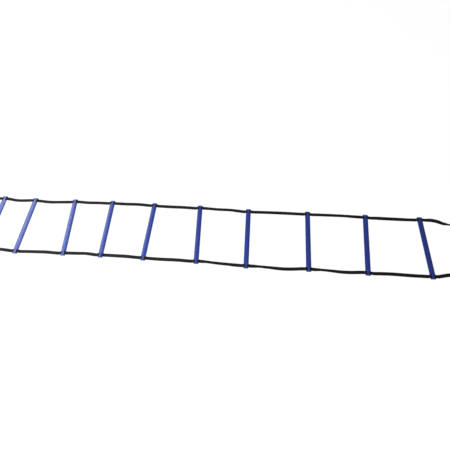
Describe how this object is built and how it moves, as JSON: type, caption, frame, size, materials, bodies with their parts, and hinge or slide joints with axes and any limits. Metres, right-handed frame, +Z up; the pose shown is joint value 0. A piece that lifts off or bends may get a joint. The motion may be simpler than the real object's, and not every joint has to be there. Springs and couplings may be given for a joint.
{
  "type": "escape rope ladder",
  "caption": "Roll-up escape ladder: flat blue slats woven on two black webbing straps, with a spring hook on each strap.",
  "frame": {"origin": "middle of the footprint, at the ground that the ladder lies on", "axes": "+X along the ladder from the bottom rung towards the hooks, +Y across it to the left strap, +Z up from the ground"},
  "size_m": [4.142, 0.4823, 0.0122],
  "materials": {
    "rung_plastic": "smooth moulded plastic with a soft gloss",
    "core_steel": "mill finish",
    "webbing": "woven polypropylene webbing",
    "hook_steel": "zinc plated",
    "spring_steel": "spring steel wire"
  },
  "bodies": {
    "span_01": {"rung_01": "rung_plastic", "rung_core_01": "core_steel", "left_strap_01": "webbing", "right_strap_01": "webbing"},
    "span_02": {"rung_02": "rung_plastic", "rung_core_02": "core_steel", "left_strap_02": "webbing", "right_strap_02": "webbing"},
    "span_03": {"rung_03": "rung_plastic", "rung_core_03": "core_steel", "left_strap_03": "webbing", "right_strap_03": "webbing"},
    "span_04": {"rung_04": "rung_plastic", "rung_core_04": "core_steel", "left_strap_04": "webbing", "right_strap_04": "webbing"},
    "span_05": {"rung_05": "rung_plastic", "rung_core_05": "core_steel", "left_strap_05": "webbing", "right_strap_05": "webbing"},
    "span_06": {"rung_06": "rung_plastic", "rung_core_06": "core_steel", "left_strap_06": "webbing", "right_strap_06": "webbing"},
    "span_07": {"rung_07": "rung_plastic", "rung_core_07": "core_steel", "left_strap_07": "webbing", "right_strap_07": "webbing"},
    "span_08": {"rung_08": "rung_plastic", "rung_core_08": "core_steel", "left_strap_08": "webbing", "right_strap_08": "webbing"},
    "span_09": {"rung_09": "rung_plastic", "rung_core_09": "core_steel", "left_strap_09": "webbing", "right_strap_09": "webbing"},
    "span_10": {"rung_10": "rung_plastic", "rung_core_10": "core_steel", "left_strap_10": "webbing", "right_strap_10": "webbing"},
    "span_11": {"rung_11": "rung_plastic", "rung_core_11": "core_steel", "left_strap_11": "webbing", "right_strap_11": "webbing"},
    "span_12": {"rung_12": "rung_plastic", "rung_core_12": "core_steel", "left_strap_12": "webbing", "right_strap_12": "webbing"},
    "left_hook": {"left_hook": "hook_steel"},
    "left_gate": {"left_hook_gate": "hook_steel", "left_gate_pin": "hook_steel", "left_gate_spring": "spring_steel", "left_gate_plunger": "hook_steel"},
    "right_hook": {"right_hook": "hook_steel"},
    "right_gate": {"right_hook_gate": "hook_steel", "right_gate_pin": "hook_steel", "right_gate_spring": "spring_steel", "right_gate_plunger": "hook_steel"}
  },
  "joints": [
    {"name": "fold_02", "type": "hinge", "parent": "span_01", "child": "span_02", "pos_m": [-1.766, -0.00159, 0.0009], "axis": [-0.0122, -0.9999, 0], "range_deg": [-140, 140]},
    {"name": "fold_03", "type": "hinge", "parent": "span_02", "child": "span_03", "pos_m": [-1.51499, -0.00429, 0.0009], "axis": [0.0209, 0.9998, 0], "range_deg": [-140, 140]},
    {"name": "fold_04", "type": "hinge", "parent": "span_03", "child": "span_04", "pos_m": [-1.17391, -0.00043, 0.0009], "axis": [0.0715, -0.9974, 0], "range_deg": [-140, 140]},
    {"name": "fold_05", "type": "hinge", "parent": "span_04", "child": "span_05", "pos_m": [-0.88499, 0.00517, 0.0009], "axis": [-0.0244, 0.9997, 0], "range_deg": [-140, 140]},
    {"name": "fold_06", "type": "hinge", "parent": "span_05", "child": "span_06", "pos_m": [-0.56299, 0.00465, 0.0009], "axis": [-0.0192, -0.9998, 0], "range_deg": [-140, 140]},
    {"name": "fold_07", "type": "hinge", "parent": "span_06", "child": "span_07", "pos_m": [-0.19496, 0.0024, 0.0009], "axis": [-0.0471, 0.9989, 0], "range_deg": [-140, 140]},
    {"name": "fold_08", "type": "hinge", "parent": "span_07", "child": "span_08", "pos_m": [0.165, -0.00641, 0.0009], "axis": [0.0122, -0.9999, 0], "range_deg": [-140, 140]},
    {"name": "fold_09", "type": "hinge", "parent": "span_08", "child": "span_09", "pos_m": [0.6, -0.00088, 0.0009], "axis": [0.0035, 1, 0], "range_deg": [-140, 140]},
    {"name": "fold_10", "type": "hinge", "parent": "span_09", "child": "span_10", "pos_m": [1.00904, -0.00028, 0.0009], "axis": [-0.0506, -0.9987, 0], "range_deg": [-140, 140]},
    {"name": "fold_11", "type": "hinge", "parent": "span_10", "child": "span_11", "pos_m": [1.41403, -0.00036, 0.0009], "axis": [-0.0401, 0.9992, 0], "range_deg": [-140, 140]},
    {"name": "fold_12", "type": "hinge", "parent": "span_11", "child": "span_12", "pos_m": [1.802, 0, 0.0009], "axis": [0, -1, 0], "range_deg": [-140, 140]},
    {"name": "left_hook_swing", "type": "hinge", "parent": "span_12", "child": "left_hook", "pos_m": [1.986, 0.215, 0.0061], "axis": [0, 1, 0], "range_deg": [-120, 120]},
    {"name": "right_hook_swing", "type": "hinge", "parent": "span_12", "child": "right_hook", "pos_m": [1.986, -0.215, 0.0061], "axis": [0, 1, 0], "range_deg": [-120, 120]},
    {"name": "left_gate_open", "type": "hinge", "parent": "left_hook", "child": "left_gate", "pos_m": [2.00199, 0.234, 0.00568], "axis": [-0.0259, 0, -0.9997], "range_deg": [0, 25], "stiffness_Nm_per_rad": 0.05, "springref_deg": -28.65},
    {"name": "right_gate_open", "type": "hinge", "parent": "right_hook", "child": "right_gate", "pos_m": [2.00199, -0.196, 0.00568], "axis": [-0.0259, 0, -0.9997], "range_deg": [0, 25], "stiffness_Nm_per_rad": 0.05, "springref_deg": -28.65}
  ]
}
